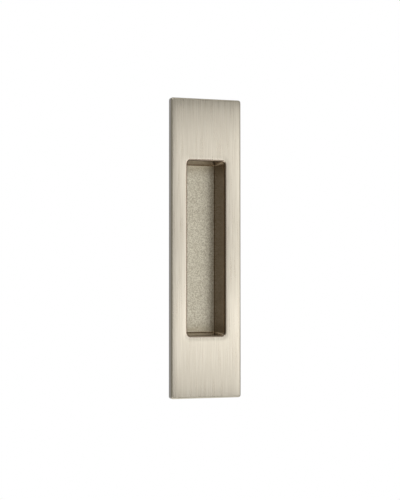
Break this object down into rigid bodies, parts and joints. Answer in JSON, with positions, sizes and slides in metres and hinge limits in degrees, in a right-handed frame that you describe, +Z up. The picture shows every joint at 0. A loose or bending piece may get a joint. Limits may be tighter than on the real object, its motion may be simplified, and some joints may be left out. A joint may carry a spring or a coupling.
{
  "type": "pocket door pull",
  "caption": "Rectangular flush pull for a sliding pocket door: a slim brushed face plate around a drafted finger recess, with a plain cup behind that drops into a mortise.",
  "frame": {"origin": "middle of the face plate's rear face, in the plane that seats on the door", "axes": "+Z up the length of the plate, -Y out of its front face towards the room, +Y into the door"},
  "size_m": [0.0444, 0.0159, 0.1778],
  "materials": {
    "satin_nickel": "cast brass with satin nickel plate: face brushed along its length, recess floor sand textured"
  },
  "bodies": {
    "root": {"flush_pull": "satin_nickel"}
  },
  "joints": []
}
